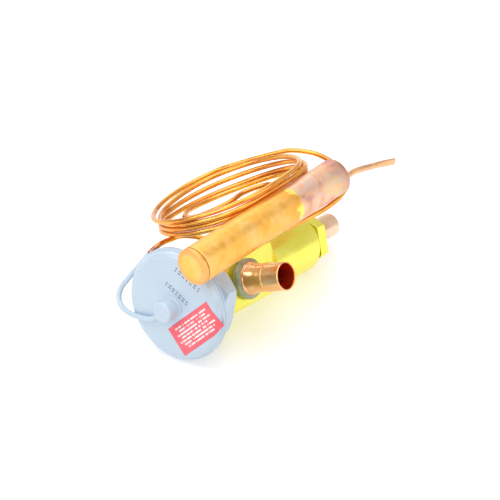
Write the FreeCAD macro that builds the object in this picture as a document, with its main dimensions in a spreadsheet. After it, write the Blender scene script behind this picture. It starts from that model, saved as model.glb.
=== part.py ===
import FreeCAD, Part
import math
import os
import re
import Sketcher

# A refrigerant expansion valve with its power element, formed capillary tube and sensing bulb.
# Every piece is laid out in the valve's own frame: X runs along the valve's axis from the element's
# flange to the inlet, -Y is the side that the outlet stub leans to and Z is up. Turned pieces are
# drawn about their own Z axis, which lies on the valve's X. At the end the whole valve is settled
# on the floor, where it rests on the rim of its element, the lower edge of its barrel and one
# corner of its inlet nut.

V = FreeCAD.Vector
SIZES = {
    # Power element
    "rim_width": 1.0,
    "lip_depth": 1.3,
    "film_thick": 0.2,
    "case_r": 28.0,
    "case_depth": 5.6,
    "case_wall": 1.2,
    "shoulder_width": 2.2,
    "shoulder_depth": 2.2,
    "cone_width": 0.4,
    "cone_end_r": 21.0,
    "cone_depth": 5.0,
    "neck_r": 19.5,
    "neck_depth": 9.0,
    "cavity_r": 18.0,
    "cavity_depth": 3.4,
    "window_r": 9.5,
    "boss_r": 5.3,
    "boss_height": 8.6,
    "boss_chamfer": 0.6,
    "spigot_r": 3.1,
    "braze_gap": 0.05,
    # Sticker on the element's face
    "label_length": 32.7,
    "label_width": 15.6,
    "label_thick": 0.12,
    "label_along": 11.7,
    "label_across": 11.5,
    "label_turn": -24.0,
    # Element nut and its gasket
    "nut_flats": 41.2,
    "nut_height": 9.1,
    "nut_chamfer": 1.5,
    "nut_cut": 2.4,
    "screw_r": 14.0,
    "screw_gap": 0.05,
    "gasket_thick": 1.0,
    "gasket_gap": 0.2,
    "gasket_inner_r": 10.0,
    # Valve body
    "block_flats": 29.0,
    "block_corner_r": 18.4,
    "block_length": 41.9,
    "block_chamfer": 0.8,
    "barrel_r": 15.95,
    "barrel_length": 35.9,
    "barrel_chamfer": 0.7,
    "outlet_offset": 17.5,
    "outlet_tilt": 25.9,
    "chamber_r": 8.8,
    "chamber_before": 4.8,
    "chamber_after": 6.4,
    "bore_r": 9.5,
    "shank_r": 10.45,
    "shank_length": 9.9,
    # Pin, port and spring
    "insert_thick": 8.0,
    "fit_gap": 0.04,
    "port_r": 2.0,
    "rod_r": 1.0,
    "rod_circle_r": 6.0,
    "rod_gap": 0.06,
    "plate_r": 17.0,
    "plate_thick": 1.6,
    "carrier_lift": 4.0,
    "carrier_thick": 4.0,
    "carrier_flats": 15.6,
    "guide_gap": 0.08,
    "stem_r": 3.2,
    "stem_length": 4.0,
    "pin_r": 2.6,
    "pin_tip_r": 0.8,
    "pin_taper": 3.6,
    "pin_shank_r": 1.8,
    "seat_gap": 0.015,
    "spring_length": 17.5,
    "spring_mean_r": 6.3,
    "spring_wire": 1.5,
    "spring_turns": 5.0,
    "spring_end_gap": 0.3,
    "washer_thick": 1.5,
    "washer_r": 9.2,
    "adjuster_thick": 6.0,
    "adjuster_hole_r": 3.4,
    # Inlet nut, strainer and tube
    "groove_r": 12.0,
    "groove_width": 2.6,
    "inlet_flats": 27.0,
    "inlet_height": 6.0,
    "inlet_chamfer": 0.5,
    "inlet_face_r": 15.0,
    "collar_r": 8.0,
    "collar_height": 1.5,
    "shank_gap": 0.3,
    "throat_r": 4.6,
    "tube_stop": 1.0,
    "tube_r": 6.4,
    "tube_bore_r": 4.8,
    "tube_length": 26.0,
    "strainer_r": 4.2,
    "strainer_tip_r": 2.6,
    "strainer_length": 13.0,
    "strainer_wall": 0.4,
    "strainer_rim_r": 6.0,
    "strainer_rim": 0.6,
    # Outlet stub, measured outwards from the valve's axis
    "ring_r": 10.4,
    "ring_height": 3.1,
    "ring_chamfer": 0.8,
    "stub_base_r": 8.6,
    "stub_base_height": 4.0,
    "stub_r": 7.15,
    "stub_reach": 40.95,
    "stub_taper_end": 24.5,
    "stub_root": 10.6,
    "stub_root_r": 7.9,
    "stub_bore_r": 5.5,
    "socket_r": 6.4,
    "socket_depth": 13.0,
    # Sensing bulb
    "bulb_r": 9.525,
    "bulb_length": 111.0,
    "bulb_wall": 0.8,
    "bulb_cap_thick": 1.5,
    "bulb_cap_round": 1.2,
    "bulb_plug_depth": 2.5,
    "bulb_end_round": 3.0,
    "bulb_x": -15.5,
    "bulb_y": -16.4,
    "bulb_rim_gap": 0.05,
    "bulb_yaw": -2.25,
    "bulb_pitch": 7.9,
    "bulb_hole_x": -3.8,
    "bulb_hole_y": 2.0,
    "charge_hole_x": 0.7,
    "charge_hole_y": 4.2,
    # Capillary tube and its coil
    "capillary_r": 1.2,
    "capillary_hole_r": 1.25,
    "capillary_exit": 3.1,
    "capillary_inset": 2.915,
    "capillary_run": 1.5,
    "route_grid": 1.0,
    "capillary_angle": 155.0,
    "coil_x": 55.8,
    "coil_y": 18.7,
    "coil_z": 37.2,
    "coil_lean": 28.9,
    "bulb_run": 3.0,
    "bend_step": 11.0,
    "shortest_run": 0.8,
    "tube_sides": 7,
    "charge_r": 1.6,
    "charge_run": 2.0,
    "charge_sides": 8,
    "end_inset": 0.64,
    "strand_gap": 0.25,
    "bend_softness": 2.5,
    # How far cuts run past what they cut
    "cut_overrun": 1.0,
    "stock_margin": 3.0,
}
RODS = 3

os.makedirs("parts", exist_ok=True)
doc = FreeCAD.newDocument("expansion_valve")
sheet = doc.addObject("Spreadsheet::Sheet", "Sizes")
for row, (alias, value) in enumerate(SIZES.items(), 1):
    sheet.set(f"A{row}", alias)
    sheet.set(f"B{row}", str(value))
    sheet.setAlias(f"B{row}", alias)
doc.recompute()

# The edge of the element's rim and of the cone behind it, as formulas on the sheet's cells.
RIM_R = "(case_r + rim_width)"
CONE_R = "(case_r + cone_width)"

# Places along the valve's axis.
FACE = "0 - case_depth"
NUT_END = "neck_depth + nut_height"
NECK_START = "neck_depth + gasket_thick"
BLOCK_END = NUT_END + " + block_length"
BODY_END = BLOCK_END + " + barrel_length"
OUTLET = NUT_END + " + outlet_offset"
CHAMBER_START = OUTLET + " - chamber_before"
INSERT_START = OUTLET + " + chamber_after"
PORT_END = INSERT_START + " + insert_thick"
CARRIER_START = PORT_END + " + carrier_lift"
CARRIER_END = CARRIER_START + " + carrier_thick"
WASHER_START = CARRIER_END + " + spring_length"
ADJUSTER_START = WASHER_START + " + washer_thick"
ADJUSTER_END = ADJUSTER_START + " + adjuster_thick"
SHANK_START = BODY_END + " - shank_length"
HEX_START = BODY_END + " + groove_width"
HEX_END = HEX_START + " + inlet_height"
COLLAR_END = HEX_END + " + collar_height"
TUBE_STOP = HEX_START + " + tube_stop"
TUBE_START = TUBE_STOP + " + strainer_rim"
PLATE_START = "film_thick / 2"
PLATE_END = PLATE_START + " + plate_thick"

# Height of the flat that the outlet stands on.
BLOCK_FLAT = "block_flats / 2"


def bound(text):
    """A formula on the sheet's cells, which all have an underscore in their names."""
    return re.sub(r"\b([a-z]+_\w+)\b", r"Sizes.\1", text)


def value(text):
    """What a formula comes to."""
    return float(sheet.evalExpression(bound(text)))


def new_body(name):
    body = doc.addObject("PartDesign::Body", name)
    body.Label = name
    return body


def new_sketch(body, name, plane, offset="0"):
    """A sketch on one of the body's own planes, or at an offset in front of it."""
    sketch = body.newObject("Sketcher::SketchObject", name)
    support = [f for f in body.Origin.OriginFeatures if f.Role == plane][0]
    sketch.AttachmentSupport = [(support, "")]
    sketch.MapMode = "FlatFace"
    if offset != "0":
        sketch.setExpression(".AttachmentOffset.Base.z", bound(offset))
    return sketch


def hold(sketch, kind, geometry, position, text):
    """Bind one coordinate of a sketch point to a formula."""
    if text == "0":
        line = -2 if kind == "DistanceX" else -1
        sketch.addConstraint(Sketcher.Constraint("PointOnObject", geometry, position, line))
        return
    rule = Sketcher.Constraint(kind, -1, 1, geometry, position, value(text))
    index = sketch.addConstraint(rule)
    sketch.setExpression(f"Constraints[{index}]", bound(text))


def add_outline(sketch, points):
    """A closed outline of straight lines through points, each given as two formulas."""
    first = sketch.GeometryCount
    places = [V(value(across), value(up), 0) for across, up in points]
    for start, end in zip(places, places[1:] + places[:1]):
        sketch.addGeometry(Part.LineSegment(start, end), False)
    for index, (across, up) in enumerate(points):
        line = first + index
        following = first + (index + 1) % len(points)
        sketch.addConstraint(Sketcher.Constraint("Coincident", line, 2, following, 1))
        hold(sketch, "DistanceX", line, 1, across)
        hold(sketch, "DistanceY", line, 1, up)


def add_circle(sketch, across, up, radius):
    centre = V(value(across), value(up), 0)
    circle = sketch.addGeometry(Part.Circle(centre, V(0, 0, 1), value(radius)), False)
    hold(sketch, "DistanceX", circle, 3, across)
    hold(sketch, "DistanceY", circle, 3, up)
    index = sketch.addConstraint(Sketcher.Constraint("Radius", circle, value(radius)))
    sketch.setExpression(f"Constraints[{index}]", bound(radius))


def turn(body, name, points, kind="PartDesign::Revolution"):
    """Turn a half section, given as radius and place along the axis, about the body's Z axis."""
    sketch = new_sketch(body, name + "_section", "XZ_Plane")
    add_outline(sketch, points)
    feature = body.newObject(kind, name)
    feature.Profile = sketch
    feature.ReferenceAxis = (sketch, ["V_Axis"])
    feature.Angle = 360
    return feature


def cut(body, name, sketch, depth):
    """Cut a sketch's area out of the body, in front of the sketch."""
    feature = body.newObject("PartDesign::Pocket", name)
    feature.Profile = sketch
    feature.Reversed = True
    feature.setExpression("Length", bound(depth))
    return feature


def drill(body, name, plane, across, up, radius, start, depth):
    sketch = new_sketch(body, name + "_circle", plane, start)
    add_circle(sketch, across, up, radius)
    return cut(body, name, sketch, depth)


def mill_flats(body, name, points, stock_r, start, depth):
    """Cut away what lies outside a polygon, down to a depth."""
    sketch = new_sketch(body, name + "_outline", "XY_Plane", start)
    add_circle(sketch, "0", "0", stock_r + " + stock_margin")
    add_outline(sketch, points)
    return cut(body, name, sketch, depth)


def square(flats):
    half = f"{flats} / 2"
    return [(f"{a}{half}", f"{b}{half}") for a, b in (("", ""), ("0 - ", ""), ("0 - ", "0 - "), ("", "0 - "))]


def hexagon(flats):
    corner = f"{flats} / sqrt(3)"
    half = f"{flats} / 2"
    side = f"{flats} / sqrt(12)"
    return [
        (corner, "0"), (side, half), ("0 - " + side, half),
        ("0 - " + corner, "0"), ("0 - " + side, "0 - " + half), (side, "0 - " + half),
    ]


def around(body, name, feature, count):
    """Repeat a feature about the body's Z axis."""
    pattern = body.newObject("PartDesign::PolarPattern", name)
    pattern.Originals = [feature]
    pattern.Axis = (feature.Profile[0], ["N_Axis"])
    pattern.Angle = 360
    pattern.Occurrences = count
    body.Tip = pattern
    return pattern


def axial(spin=0):
    """From a turned piece's own frame to the valve's: its X points along the outlet stub."""
    lean = math.radians(value("outlet_tilt") - spin)
    out = V(0, -math.cos(lean), math.sin(lean))
    along = V(1, 0, 0)
    return FreeCAD.Placement(V(0, 0, 0), FreeCAD.Rotation(out, along.cross(out), along, "ZXY"))


def outward():
    """From the outlet stub's own frame, whose Z points out of the valve, to the valve's."""
    lean = math.radians(value("outlet_tilt"))
    out = V(0, -math.cos(lean), math.sin(lean))
    along = V(1, 0, 0)
    return FreeCAD.Placement(V(value(OUTLET), 0, 0), FreeCAD.Rotation(along, out.cross(along), out, "ZXY"))


def build_upper_case():
    body = new_body("upper_case")
    turn(body, "cover", [
        ("spigot_r + braze_gap", FACE), ("case_r - shoulder_width", FACE),
        ("case_r", FACE + " + shoulder_depth"), ("case_r", "0 - lip_depth"), (RIM_R, "0 - lip_depth"),
        (RIM_R, "0 - film_thick / 2"), ("case_r - case_wall", "0 - film_thick / 2"),
        ("case_r - case_wall", FACE + " + shoulder_depth"),
        ("case_r - shoulder_width - case_wall / 2", FACE + " + case_wall"),
        ("spigot_r + braze_gap", FACE + " + case_wall"),
    ])
    return body


def build_lower_case():
    body = new_body("lower_case")
    turn(body, "cup", [
        ("case_r - case_wall", PLATE_START), (RIM_R, PLATE_START), (RIM_R, "lip_depth"),
        (CONE_R, "lip_depth"), ("cone_end_r", "cone_depth"), ("neck_r", "cone_depth"),
        ("neck_r", "neck_depth"), ("window_r", "neck_depth"), ("window_r", "cavity_depth"),
        ("cavity_r", "cavity_depth"),
    ])
    return body


def build_diaphragm():
    body = new_body("diaphragm")
    turn(body, "film", [
        ("0", "0 - film_thick / 2"), (RIM_R + " - lip_depth", "0 - film_thick / 2"),
        (RIM_R + " - lip_depth", PLATE_START), ("0", PLATE_START),
    ])
    return body


def build_capillary_boss():
    body = new_body("capillary_boss")
    front = FACE + " - boss_height"
    turn(body, "turning", [
        ("0", front), ("boss_r - boss_chamfer", front), ("boss_r", front + " + boss_chamfer"),
        ("boss_r", FACE), ("spigot_r", FACE), ("spigot_r", FACE + " + case_wall"),
        ("0", FACE + " + case_wall"),
    ])
    drill(body, "capillary_hole", "YZ_Plane", "0", FACE + " - capillary_exit",
          "capillary_hole_r", "boss_r / 2", "boss_r")
    return body


def build_element_label():
    """A thin sticker on the flat of the face, cut round where the shoulder begins."""
    flat = doc.addObject("Part::Cylinder", "label_flat")
    flat.setExpression("Radius", bound("case_r - shoulder_width"))
    flat.setExpression("Height", bound("label_thick"))
    flat.setExpression("Placement.Base.z", bound(FACE + " - label_thick"))
    outline = doc.addObject("Part::Box", "label_outline")
    outline.setExpression("Length", bound("label_length"))
    outline.setExpression("Width", bound("label_width"))
    outline.setExpression("Height", bound("label_thick"))
    turned = FreeCAD.Rotation(V(0, 0, 1), value("label_turn"))
    half = V(value("label_length") / 2, value("label_width") / 2, 0)
    middle = V(value("label_along"), value("label_across"), value(FACE + " - label_thick"))
    outline.Placement = FreeCAD.Placement(middle - turned.multVec(half), turned)
    label = doc.addObject("Part::Common", "element_label")
    label.Base = flat
    label.Tool = outline
    label.Label = "element_label"
    return label


def build_element_nut():
    body = new_body("element_nut")
    bore = "screw_r + screw_gap"
    rim = "nut_flats / sqrt(3)"
    turn(body, "blank", [
        (bore, "neck_depth"), (rim + " - nut_cut", "neck_depth"), (rim, "neck_depth + nut_chamfer"),
        (rim, NUT_END + " - nut_chamfer"), (rim + " - nut_cut", NUT_END), (bore, NUT_END),
    ])
    mill_flats(body, "flats", hexagon("nut_flats"), rim, "neck_depth - cut_overrun",
               "nut_height + cut_overrun * 2")
    return body


def build_body_gasket():
    body = new_body("body_gasket")
    turn(body, "ring", [
        ("gasket_inner_r", "neck_depth"), ("screw_r - gasket_gap", "neck_depth"),
        ("screw_r - gasket_gap", NECK_START), ("gasket_inner_r", NECK_START),
    ])
    return body


def build_valve_body():
    body = new_body("valve_body")
    turn(body, "turning", [
        ("0", NECK_START), ("screw_r", NECK_START), ("screw_r", NUT_END),
        ("block_corner_r - block_chamfer", NUT_END), ("block_corner_r", NUT_END + " + block_chamfer"),
        ("block_corner_r", BLOCK_END), ("barrel_r", BLOCK_END),
        ("barrel_r", BODY_END + " - barrel_chamfer"), ("barrel_r - barrel_chamfer", BODY_END),
        ("0", BODY_END),
    ])
    mill_flats(body, "flats", square("block_flats"), "block_corner_r", NUT_END, "block_length")
    turn(body, "bores", [
        ("0", CHAMBER_START), ("chamber_r", CHAMBER_START), ("chamber_r", INSERT_START),
        ("bore_r", INSERT_START), ("bore_r", SHANK_START), ("shank_r + screw_gap", SHANK_START),
        ("shank_r + screw_gap", BODY_END + " + cut_overrun"), ("0", BODY_END + " + cut_overrun"),
    ], "PartDesign::Groove")
    drill(body, "outlet_way", "YZ_Plane", "0", OUTLET, "stub_bore_r", "0", "block_flats")
    drill(body, "outlet_seat", "YZ_Plane", "0", OUTLET, "stub_root_r + braze_gap",
          "stub_root", "block_flats")
    rod_hole = drill(body, "rod_hole", "XY_Plane", "rod_circle_r", "0", "rod_r + rod_gap",
                     NECK_START + " - cut_overrun",
                     CHAMBER_START + " - neck_depth - gasket_thick + cut_overrun * 2")
    around(body, "rod_holes", rod_hole, RODS)
    return body


def build_port_insert():
    body = new_body("port_insert")
    turn(body, "plug", [
        ("port_r", INSERT_START), ("bore_r - fit_gap", INSERT_START),
        ("bore_r - fit_gap", PORT_END), ("port_r", PORT_END),
    ])
    rod_hole = drill(body, "rod_hole", "XY_Plane", "rod_circle_r", "0", "rod_r + rod_gap",
                     INSERT_START + " - cut_overrun", "insert_thick + cut_overrun * 2")
    around(body, "rod_holes", rod_hole, RODS)
    return body


def build_buffer_plate():
    body = new_body("buffer_plate")
    turn(body, "disc", [
        ("0", PLATE_START), ("plate_r", PLATE_START), ("plate_r", PLATE_END), ("0", PLATE_END),
    ])
    return body


def build_push_rods():
    rods = []
    for number in range(RODS):
        rod = doc.addObject("Part::Cylinder", f"push_rod_{number + 1}")
        rod.setExpression("Radius", bound("rod_r"))
        rod.setExpression("Height", bound(CARRIER_START + " - film_thick / 2 - plate_thick"))
        angle = 2 * math.pi * number / RODS
        ring = value("rod_circle_r")
        rod.Placement.Base = V(ring * math.cos(angle), ring * math.sin(angle), value(PLATE_END))
        rods.append(rod)
    group = doc.addObject("Part::Compound", "push_rods")
    group.Links = rods
    group.Label = "push_rods"
    return group


def build_pin_carrier():
    """A guide with turned corners, so that liquid passes along its four flats."""
    body = new_body("pin_carrier")
    guide = "bore_r - guide_gap"
    turn(body, "turning", [
        ("pin_shank_r", CARRIER_START), (guide, CARRIER_START), (guide, CARRIER_END),
        ("stem_r", CARRIER_END), ("stem_r", CARRIER_END + " + stem_length"),
        ("pin_shank_r", CARRIER_END + " + stem_length"),
    ])
    mill_flats(body, "flats", square("carrier_flats"), guide, CARRIER_START, "carrier_thick")
    return body


def build_valve_pin():
    body = new_body("valve_pin")
    reach = "(port_r - seat_gap - pin_tip_r) * pin_taper / (pin_r - pin_tip_r)"
    tip = PORT_END + " - " + reach
    turn(body, "needle", [
        ("0", tip), ("pin_tip_r", tip), ("pin_r", tip + " + pin_taper"), ("pin_r", CARRIER_START),
        ("pin_shank_r", CARRIER_START), ("pin_shank_r", CARRIER_END + " + stem_length"),
        ("0", CARRIER_END + " + stem_length"),
    ])
    return body


def build_spring_seat():
    body = new_body("spring_seat")
    turn(body, "washer", [
        ("adjuster_hole_r", WASHER_START), ("washer_r", WASHER_START),
        ("washer_r", ADJUSTER_START), ("adjuster_hole_r", ADJUSTER_START),
    ])
    return body


def build_adjusting_nut():
    """A screwed ring with a hexagon hole for its key."""
    body = new_body("adjusting_nut")
    turn(body, "ring", [
        ("0", ADJUSTER_START), ("bore_r - fit_gap", ADJUSTER_START),
        ("bore_r - fit_gap", ADJUSTER_END), ("0", ADJUSTER_END),
    ])
    sketch = new_sketch(body, "key_outline", "XY_Plane", ADJUSTER_START + " - cut_overrun")
    add_outline(sketch, hexagon("adjuster_hole_r * 2"))
    cut(body, "key_hole", sketch, "adjuster_thick + cut_overrun * 2")
    return body


def build_inlet_nut():
    body = new_body("inlet_nut")
    rim = "inlet_flats / sqrt(3)"
    start = SHANK_START + " + shank_gap"
    turn(body, "turning", [
        ("throat_r", start), ("shank_r", start), ("shank_r", BODY_END),
        ("groove_r", BODY_END), ("groove_r", HEX_START), ("inlet_face_r", HEX_START),
        (rim, HEX_START + " + inlet_chamfer"), (rim, HEX_END + " - inlet_chamfer"),
        ("inlet_face_r", HEX_END), ("collar_r", HEX_END), ("collar_r", COLLAR_END),
        ("tube_r + braze_gap", COLLAR_END), ("tube_r + braze_gap", TUBE_STOP), ("throat_r", TUBE_STOP),
    ])
    mill_flats(body, "flats", hexagon("inlet_flats"), rim, HEX_START, "inlet_height")
    return body


def build_inlet_strainer():
    body = new_body("inlet_strainer")
    tip = TUBE_STOP + " - strainer_length"
    turn(body, "cup", [
        ("0", tip), ("strainer_tip_r", tip), ("strainer_r", TUBE_STOP), ("strainer_rim_r", TUBE_STOP),
        ("strainer_rim_r", TUBE_START), ("strainer_r - strainer_wall", TUBE_START),
        ("strainer_tip_r - strainer_wall", tip + " + strainer_wall"), ("0", tip + " + strainer_wall"),
    ])
    return body


def build_inlet_tube():
    body = new_body("inlet_tube")
    end = TUBE_START + " + tube_length"
    turn(body, "tube", [
        ("tube_bore_r", TUBE_START), ("tube_r", TUBE_START), ("tube_r", end), ("tube_bore_r", end),
    ])
    return body


def build_outlet_ring():
    body = new_body("outlet_ring")
    hole = "stub_base_r + braze_gap"
    top = BLOCK_FLAT + " + ring_height"
    turn(body, "ring", [
        (hole, BLOCK_FLAT), ("ring_r", BLOCK_FLAT), ("ring_r", top + " - ring_chamfer"),
        ("ring_r - ring_chamfer", top), (hole, top),
    ])
    return body


def build_outlet_stub():
    body = new_body("outlet_stub")
    turn(body, "tube", [
        ("stub_bore_r", "stub_root"), ("stub_root_r", "stub_root"), ("stub_root_r", BLOCK_FLAT),
        ("stub_base_r", BLOCK_FLAT), ("stub_base_r", BLOCK_FLAT + " + stub_base_height"),
        ("stub_r", "stub_taper_end"),
        ("stub_r", "stub_reach"), ("socket_r", "stub_reach"), ("socket_r", "stub_reach - socket_depth"),
        ("stub_bore_r", "stub_reach - socket_depth"),
    ])
    return body


def build_bulb_shell():
    """A drawn cup: its far end is closed, and drilled for the capillary and the charging tube."""
    body = new_body("bulb_shell")
    inner = "bulb_r - bulb_wall"
    turn(body, "cup", [
        (inner, "bulb_cap_thick"), ("bulb_r", "bulb_cap_thick"),
        ("bulb_r", "bulb_length - bulb_end_round"),
        ("bulb_r - bulb_end_round / 3", "bulb_length - bulb_end_round / 3"),
        ("bulb_r - bulb_end_round", "bulb_length"), ("0", "bulb_length"),
        ("0", "bulb_length - bulb_wall"), ("bulb_r - bulb_end_round", "bulb_length - bulb_wall"),
        (inner, "bulb_length - bulb_end_round"),
    ])
    drill(body, "capillary_hole", "XY_Plane", "bulb_hole_x", "bulb_hole_y", "capillary_hole_r",
          "bulb_length - bulb_wall * 2", "bulb_wall * 3")
    drill(body, "charging_hole", "XY_Plane", "charge_hole_x", "charge_hole_y", "charge_r + braze_gap",
          "bulb_length - bulb_wall * 2", "bulb_wall * 3")
    return body


def build_bulb_cap():
    body = new_body("bulb_cap")
    plug_r = "bulb_r - bulb_wall - braze_gap"
    turn(body, "plug", [
        ("0", "0"), ("bulb_r - bulb_cap_round", "0"), ("bulb_r", "bulb_cap_round"),
        ("bulb_r", "bulb_cap_thick"), (plug_r, "bulb_cap_thick"),
        (plug_r, "bulb_cap_thick + bulb_plug_depth"), ("0", "bulb_cap_thick + bulb_plug_depth"),
    ])
    return body


# The capillary tube leaves the boss, loops round behind the rim of the element and dips under the
# bulb. Places of this lead are in the valve's frame, and those under the bulb in the coil's. All
# places of the two tubes are counted in steps of route_grid.
LEAD = [
    (-8.0, 10.9, -10.5), (-7.1, 20.9, -13.5), (-5.9, 27.0, -14.3), (-4.5, 31.8, -14.1),
    (-2.8, 35.1, -12.6), (-0.9, 36.8, -9.8), (0.9, 36.9, -6.4), (2.4, 36.0, -2.8),
    (3.3, 34.7, 1.5), (3.4, 31.6, 7.4), (3.3, 27.9, 13.4), (4.3, 25.0, 18.0),
    (8.0, 23.7, 20.1), (13.5, 24.0, 19.5), (19.3, 24.4, 18.7),
]
UNDER_BULB = [
    (-32.9, 9.2, -9.8), (-29.2, 2.4, -12.7), (-26.0, -5.3, -17.2), (-19.6, -14.7, -22.8),
    (-10.1, -19.4, -25.0), (-1.1, -23.2, -25.8), (8.1, -25.9, -26.9), (18.3, -29.1, -27.3),
    (28.2, -32.0, -27.2), (39.4, -34.1, -25.6), (48.5, -32.8, -22.0), (53.0, -26.5, -15.0),
    (53.0, -17.0, -7.0), (50.0, -8.0, -2.0),
]
# It then winds nearly five turns behind the bulb. Each turn has its radius and height at its four
# quarters, from the far right one.
COIL_START = [(360, 46.5, 0.3)]
TURNS = [
    [(45.0, 1.0), (40.3, 0.5), (37.0, 0.1), (38.9, 0.0)],
    [(39.8, 0.0), (37.3, -1.6), (38.3, -2.7), (41.0, -3.0)],
    [(37.2, -3.7), (38.4, -4.1), (36.5, -5.4), (41.0, -5.7)],
    [(37.0, -8.2), (39.0, -6.7), (37.0, -8.1), (41.0, -8.3)],
    [(33.0, -9.2), (25.5, -5.5)],
]
# The last stretch crosses the coil and reaches for the far end of the bulb, which lies END_REACH
# beyond the coil's middle: it grows longer or shorter with that distance. The tail and the charging
# tube are measured from the far end, in the bulb's frame.
COIL_END = [
    (180, 25.5, -3.2), (201, 23.6, -2.4), (225, 19, -2), (255, 14.5, -1.7), (285, 21, -2.5), (305, 24, -6),
    (322, 29, -10.5), (331, 37, -12), (336, 46, -12),
]
END_REACH = 39.6709
TAIL = [(-15.4754, 6.0009, 8.0895), (-10.8457, 4.4768, 10.2022), (-6.0630, 2.6152, 8.4274)]
CHARGING = [(0.7981, 3.5161, 12.0098), (2.1606, 6.5442, 28.0115), (3.5544, 10.4529, 43.0840)]
QUARTER = 90
QUARTER_STEPS = 6
SPRING_STEPS = 12
SMOOTH_STEPS = 8


def bulb_place():
    """The bulb lies on the front edge of the element's rim, nearly along the valve."""
    yaw = math.radians(value("bulb_yaw"))
    pitch = math.radians(value("bulb_pitch"))
    along = V(math.cos(pitch) * math.cos(yaw), math.cos(pitch) * math.sin(yaw), math.sin(pitch))
    near_x = value("bulb_x")
    reach = (value("0 - lip_depth") - near_x) / along.x
    rim_y = value("bulb_y") + along.y * reach
    rim_z = math.sqrt(value(RIM_R + " + bulb_r + bulb_rim_gap") ** 2 - rim_y ** 2)
    near = V(near_x, value("bulb_y"), rim_z - along.z * reach)
    side = along.cross(V(0, 0, 1)).normalize()
    return FreeCAD.Placement(near, FreeCAD.Rotation(side, along.cross(side), along, "ZXY"))


def bulb_end():
    """The bulb's own frame, moved to its far end."""
    return bulb_place().multiply(FreeCAD.Placement(V(0, 0, value("bulb_length")), FreeCAD.Rotation()))


def coil_place():
    tilt = FreeCAD.Rotation(V(0, 1, 0), value("0 - bulb_pitch"))
    lean = FreeCAD.Rotation(V(1, 0, 0), value("0 - coil_lean"))
    centre = V(value("coil_x"), value("coil_y"), value("coil_z"))
    return FreeCAD.Placement(centre, tilt.multiply(lean))


def on_coil(angle, radius, height):
    turned = math.radians(angle)
    return V(radius * math.cos(turned), radius * math.sin(turned), height) * value("route_grid")


def routed(places, frame):
    """Places of a route, carried from a frame to the valve's."""
    return [frame.multVec(V(*place) * value("route_grid")) for place in places]


def beside_bulb(point):
    """A turn's point in the coil's frame, pressed in softly where it would run into the bulb."""
    bulb = coil_place().inverse().multiply(bulb_place())
    along = bulb.Rotation.multVec(V(0, 0, 1))
    axis = bulb.Base + along * ((point.x - bulb.Base.x) / along.x)
    clear = value("bulb_r + capillary_r + strand_gap")
    above = min(abs(point.z - axis.z), clear)
    limit = axis.y + math.sqrt(clear ** 2 - above ** 2)
    softness = value("bend_softness")
    return V(point.x, limit + softness * math.log(1 + math.exp((point.y - limit) / softness)), point.z)


def coil_points():
    """The turns, worked out every 15 degrees between the places of their quarters."""
    stations = [quarter for turn_ in TURNS for quarter in turn_]
    points = [on_coil(*place) for place in COIL_START]
    for index, (start, end) in enumerate(zip(stations, stations[1:])):
        for step in range(QUARTER_STEPS):
            part = step / QUARTER_STEPS
            ease = (1 - math.cos(math.pi * part)) / 2
            radius = start[0] + (end[0] - start[0]) * ease
            height = start[1] + (end[1] - start[1]) * ease
            points.append(on_coil(QUARTER * (index + part + 0.5), radius, height))
    points.append(on_coil(QUARTER * (len(stations) - 0.5), *stations[-1]))
    end_x = coil_place().inverse().multVec(bulb_end().Base).x
    stretch = end_x / (END_REACH * value("route_grid"))
    for point in [on_coil(*place) for place in COIL_END]:
        points.append(V(point.x * stretch, point.y, point.z))
    return [beside_bulb(point) for point in points]


def smooth(points):
    """Points along a soft curve through a list of points."""
    fine = []
    slopes = [(b - a).normalize() for a, b in zip(points[:1] + points[:-1], points[1:] + points[-1:])]
    for start, end, leaving, arriving in zip(points, points[1:], slopes, slopes[1:]):
        reach = (end - start).Length
        for step in range(SMOOTH_STEPS):
            t = step / SMOOTH_STEPS
            fine.append(
                start * (2 * t ** 3 - 3 * t ** 2 + 1) + leaving * (reach * (t ** 3 - 2 * t ** 2 + t))
                + end * (3 * t ** 2 - 2 * t ** 3) + arriving * (reach * (t ** 3 - t ** 2)))
    return fine + points[-1:]


def straightened(points, most):
    """Fewer points: one wherever the path has turned by so many degrees since the last."""
    kept = points[:1]
    shortest = value("shortest_run")
    turned = 0
    for before, here, after in zip(points, points[1:], points[2:]):
        bend = math.degrees((here - before).getAngle(after - here))
        if turned + bend > most and (here - kept[-1]).Length > shortest:
            kept.append(here)
            turned = 0
        turned += bend
    return kept + points[-1:]


def bent_wire(name, path, radius, sides):
    """A wire or tube of a few flat sides in short straight runs, mitred where they meet."""
    ways = [(after - before).normalize() for before, after in zip(path, path[1:])]
    across = ways[0].cross(V(0, 0, 1)).normalize()
    up = ways[0].cross(across)
    turns = [2 * math.pi * corner / sides for corner in range(sides)]
    ring = [path[0] + (across * math.cos(turn) + up * math.sin(turn)) * radius for turn in turns]
    rings = [ring]
    for end, way, following in zip(path[1:], ways, ways[1:] + ways[-1:]):
        mitre = (way + following).normalize()
        ring = [corner + way * ((end - corner).dot(mitre) / way.dot(mitre)) for corner in ring]
        rings.append(ring)
    faces = [Part.Face(Part.makePolygon(end + end[:1])) for end in (rings[0], rings[-1])]
    for before, after in zip(rings, rings[1:]):
        for left, right in zip(range(sides), list(range(1, sides)) + [0]):
            corners = [before[left], before[right], after[right], after[left], before[left]]
            faces.append(Part.Face(Part.makePolygon(corners)))
    shell = Part.Shell(faces)
    shell.sewShape()
    piece = doc.addObject("Part::Feature", name)
    piece.Shape = Part.Solid(shell)
    piece.Label = name
    return piece


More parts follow.
